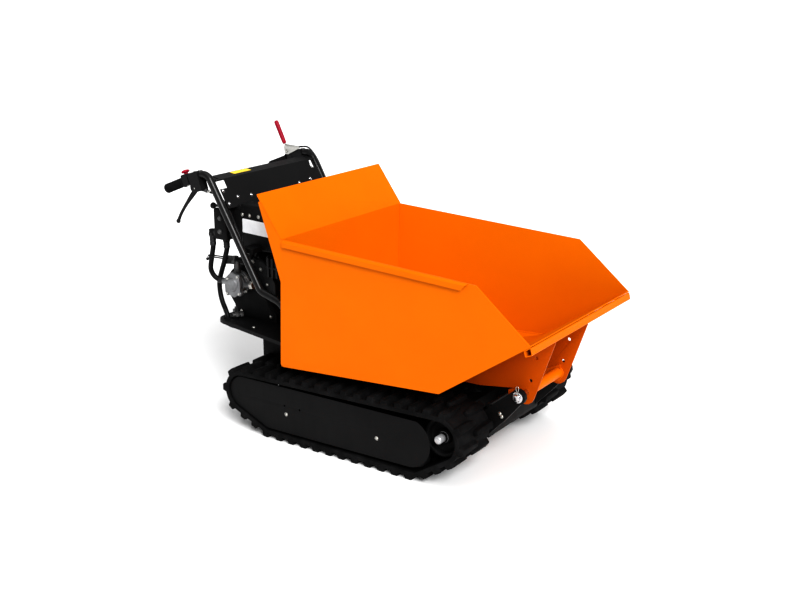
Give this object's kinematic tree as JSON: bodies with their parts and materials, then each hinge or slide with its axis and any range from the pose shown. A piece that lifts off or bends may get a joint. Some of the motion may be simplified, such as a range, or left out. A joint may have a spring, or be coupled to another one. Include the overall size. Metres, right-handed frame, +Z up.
{
  "type": "mini dumper",
  "caption": "Walk-behind mini dumper on rubber tracks, with an engine, handlebar controls and a steel skip that a hydraulic cylinder tips forward over a front pivot.",
  "frame": {"origin": "on the ground, under the middle of the overall box", "axes": "+X forward, the way the skip tips; +Y to the machine's left; +Z up"},
  "size_m": [1.4265, 0.696, 0.931],
  "materials": {
    "orange_paint": "gloss",
    "black_paint": "satin",
    "rubber": "matt",
    "black_plastic": "matt",
    "black_tank": "satin",
    "red_plastic": "gloss",
    "zinc_steel": "satin",
    "polished_steel": "polished",
    "cast_aluminium": "cast",
    "black_alloy": "satin",
    "dark_casting": "cast"
  },
  "bodies": {
    "chassis": {"chassis_frame": "black_paint", "deck_plate": "black_paint", "handlebar_right": "black_paint", "handlebar_left": "black_paint", "console_panel": "black_paint", "side_cover_right": "black_paint", "side_cover_left": "black_paint", "track_beam_right": "black_paint", "track_beam_left": "black_paint", "control_valve": "black_paint", "track_right": "rubber", "track_left": "rubber", "grip_right": "rubber", "grip_left": "rubber", "hose_pump": "rubber", "hose_lift": "rubber", "lever_perch_right": "black_plastic", "lever_perch_left": "black_plastic", "clutch_clamp": "black_plastic", "stop_housing": "black_plastic", "steering_cable_right": "black_plastic", "steering_cable_left": "black_plastic", "clutch_cable": "black_plastic", "air_cleaner": "black_plastic", "recoil_cover": "black_plastic", "oil_tank": "black_tank", "fuel_tank": "black_tank", "pivot_pin_right": "polished_steel", "pivot_pin_left": "polished_steel", "pump_cover": "cast_aluminium", "pump_body": "cast_aluminium", "engine_block": "black_alloy", "gearbox": "black_alloy", "belt_case": "black_alloy", "muffler": "black_alloy"},
    "skip": {"skip_body": "orange_paint", "skip_lip_tube": "orange_paint", "skip_subframe": "orange_paint"},
    "barrel": {"cylinder_barrel": "black_paint"},
    "rod": {"cylinder_rod": "polished_steel"},
    "right_drive_wheel": {"drive_sprocket_right": "dark_casting"},
    "right_idler": {"idler_wheel_right": "dark_casting"},
    "right_roller_1": {"track_roller_right_1": "dark_casting"},
    "right_roller_2": {"track_roller_right_2": "dark_casting"},
    "right_roller_3": {"track_roller_right_3": "dark_casting"},
    "left_drive_wheel": {"drive_sprocket_left": "dark_casting"},
    "left_idler": {"idler_wheel_left": "dark_casting"},
    "left_roller_1": {"track_roller_left_1": "dark_casting"},
    "left_roller_2": {"track_roller_left_2": "dark_casting"},
    "left_roller_3": {"track_roller_left_3": "dark_casting"},
    "right_steering_lever": {"steering_lever_right": "black_plastic"},
    "left_steering_lever": {"steering_lever_left": "black_plastic"},
    "clutch_handle": {"clutch_lever": "zinc_steel", "clutch_sleeve": "red_plastic"},
    "stop_switch": {"stop_button": "red_plastic"},
    "valve_handle": {"valve_lever": "black_plastic"},
    "fuel_filler": {"fuel_cap": "black_plastic"},
    "oil_filler": {"oil_cap": "black_plastic"},
    "starter_pull": {"starter_grip": "black_plastic"}
  },
  "joints": [
    {"name": "skip_tip", "type": "hinge", "parent": "chassis", "child": "skip", "pos_m": [0.58268, 0, 0.262], "axis": [0, 1, 0], "range_deg": [0, 75]},
    {"name": "cylinder_swing", "type": "hinge", "parent": "chassis", "child": "barrel", "pos_m": [0.05067, 0, 0.108], "axis": [0, -1, 0], "range_deg": [0, 12.4]},
    {"name": "cylinder_extend", "type": "slide", "parent": "barrel", "child": "rod", "axis": [0.9472, 0, 0.3206], "range_m": [0, 0.1422]},
    {"name": "right_track_drive", "type": "hinge", "parent": "chassis", "child": "right_drive_wheel", "pos_m": [-0.33483, -0.258, 0.135], "axis": [0, 1, 0], "continuous": true},
    {"name": "right_idler_turn", "type": "hinge", "parent": "chassis", "child": "right_idler", "pos_m": [0.42067, -0.258, 0.15], "axis": [0, 1, 0], "continuous": true},
    {"name": "right_roller_turn_1", "type": "hinge", "parent": "chassis", "child": "right_roller_1", "pos_m": [-0.22732, -0.258, 0.056], "axis": [0, 1, 0], "continuous": true},
    {"name": "right_roller_turn_2", "type": "hinge", "parent": "chassis", "child": "right_roller_2", "pos_m": [0.05568, -0.258, 0.056], "axis": [0, 1, 0], "continuous": true},
    {"name": "right_roller_turn_3", "type": "hinge", "parent": "chassis", "child": "right_roller_3", "pos_m": [0.33468, -0.258, 0.056], "axis": [0, 1, 0], "continuous": true},
    {"name": "left_track_drive", "type": "hinge", "parent": "chassis", "child": "left_drive_wheel", "pos_m": [-0.33483, 0.258, 0.135], "axis": [0, 1, 0], "continuous": true},
    {"name": "left_idler_turn", "type": "hinge", "parent": "chassis", "child": "left_idler", "pos_m": [0.42067, 0.258, 0.15], "axis": [0, 1, 0], "continuous": true},
    {"name": "left_roller_turn_1", "type": "hinge", "parent": "chassis", "child": "left_roller_1", "pos_m": [-0.22732, 0.258, 0.056], "axis": [0, 1, 0], "continuous": true},
    {"name": "left_roller_turn_2", "type": "hinge", "parent": "chassis", "child": "left_roller_2", "pos_m": [0.05568, 0.258, 0.056], "axis": [0, 1, 0], "continuous": true},
    {"name": "left_roller_turn_3", "type": "hinge", "parent": "chassis", "child": "left_roller_3", "pos_m": [0.33468, 0.258, 0.056], "axis": [0, 1, 0], "continuous": true},
    {"name": "right_steering", "type": "hinge", "parent": "chassis", "child": "right_steering_lever", "pos_m": [-0.56832, -0.265, 0.776], "axis": [0, 1, 0], "range_deg": [0, 22], "stiffness_Nm_per_rad": 1.5, "springref_deg": -6.88},
    {"name": "left_steering", "type": "hinge", "parent": "chassis", "child": "left_steering_lever", "pos_m": [-0.56832, 0.265, 0.776], "axis": [0, 1, 0], "range_deg": [0, 22], "stiffness_Nm_per_rad": 1.5, "springref_deg": -6.88},
    {"name": "drive_clutch", "type": "hinge", "parent": "chassis", "child": "clutch_handle", "pos_m": [-0.61314, 0.265, 0.82141], "axis": [0, -1, 0], "range_deg": [0, 65]},
    {"name": "engine_stop", "type": "slide", "parent": "chassis", "child": "stop_switch", "axis": [0.3718, 0, -0.9283], "range_m": [0, 0.004], "stiffness_N_per_m": 700, "springref_m": -0.002},
    {"name": "tipping_control", "type": "hinge", "parent": "chassis", "child": "valve_handle", "pos_m": [-0.50133, -0.225, 0.7145], "axis": [0, 1, 0], "range_deg": [-15, 15], "stiffness_Nm_per_rad": 0.6},
    {"name": "fuel_cap_turn", "type": "hinge", "parent": "chassis", "child": "fuel_filler", "pos_m": [-0.50433, 0.06, 0.665], "axis": [0, 0, 1], "range_deg": [0, 90]},
    {"name": "oil_cap_turn", "type": "hinge", "parent": "chassis", "child": "oil_filler", "pos_m": [-0.38433, 0.12, 0.734], "axis": [0, 0, 1], "range_deg": [0, 90]},
    {"name": "starter_pull", "type": "slide", "parent": "chassis", "child": "starter_pull", "axis": [-1, 0, 0], "range_m": [0, 0.45], "stiffness_N_per_m": 40, "springref_m": -0.02}
  ],
  "couplings": [
    {"joint": "cylinder_swing", "follows": "skip_tip", "ratio": 0.1648},
    {"joint": "cylinder_extend", "follows": "skip_tip", "m_per_rad": 0.1082},
    {"joint": "right_idler_turn", "follows": "right_track_drive", "ratio": 0.92063},
    {"joint": "right_roller_turn_1", "follows": "right_track_drive", "ratio": 2.0714},
    {"joint": "right_roller_turn_2", "follows": "right_track_drive", "ratio": 2.0714},
    {"joint": "right_roller_turn_3", "follows": "right_track_drive", "ratio": 2.0714},
    {"joint": "left_idler_turn", "follows": "left_track_drive", "ratio": 0.92063},
    {"joint": "left_roller_turn_1", "follows": "left_track_drive", "ratio": 2.0714},
    {"joint": "left_roller_turn_2", "follows": "left_track_drive", "ratio": 2.0714},
    {"joint": "left_roller_turn_3", "follows": "left_track_drive", "ratio": 2.0714}
  ]
}
